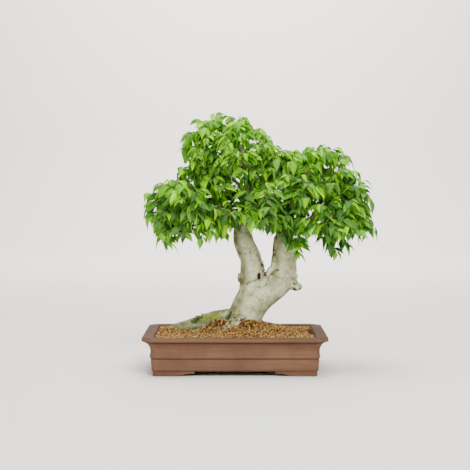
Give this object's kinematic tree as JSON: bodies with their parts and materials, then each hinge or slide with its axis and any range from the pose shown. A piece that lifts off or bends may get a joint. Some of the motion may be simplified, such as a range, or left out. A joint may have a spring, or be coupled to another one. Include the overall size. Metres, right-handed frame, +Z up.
{
  "type": "hackberry bonsai",
  "caption": "Two-stemmed bonsai tree with a domed leafy crown, rooted in granular soil in a low rectangular clay pot with cut corners and cloud feet.",
  "frame": {"origin": "on the surface that the pot stands on, under the middle of the whole footprint, crown included", "axes": "+Z up, +X to the right as seen from the front, +Y away from the viewer"},
  "size_m": [0.5714, 0.3298, 0.6342],
  "materials": {
    "clay": "unglazed red-brown stoneware, matt",
    "screen": "black plastic mesh",
    "soil": "loose grains of baked ochre clay",
    "bark": "smooth pale grey-green bark",
    "foliage": "thin green leaves, slightly glossy"
  },
  "bodies": {
    "root": {"pot": "clay", "drain_screen_left": "screen", "drain_screen_right": "screen", "soil": "soil", "trunk": "bark", "spray_01": "foliage", "spray_02": "foliage", "spray_03": "foliage", "spray_04": "foliage", "spray_05": "foliage", "spray_06": "foliage", "spray_07": "foliage", "spray_08": "foliage", "spray_09": "foliage", "spray_10": "foliage", "spray_11": "foliage", "spray_12": "foliage", "spray_13": "foliage", "spray_14": "foliage", "spray_15": "foliage", "spray_16": "foliage", "spray_17": "foliage", "spray_18": "foliage", "spray_19": "foliage", "spray_20": "foliage", "spray_21": "foliage", "spray_22": "foliage", "spray_23": "foliage"}
  },
  "joints": []
}
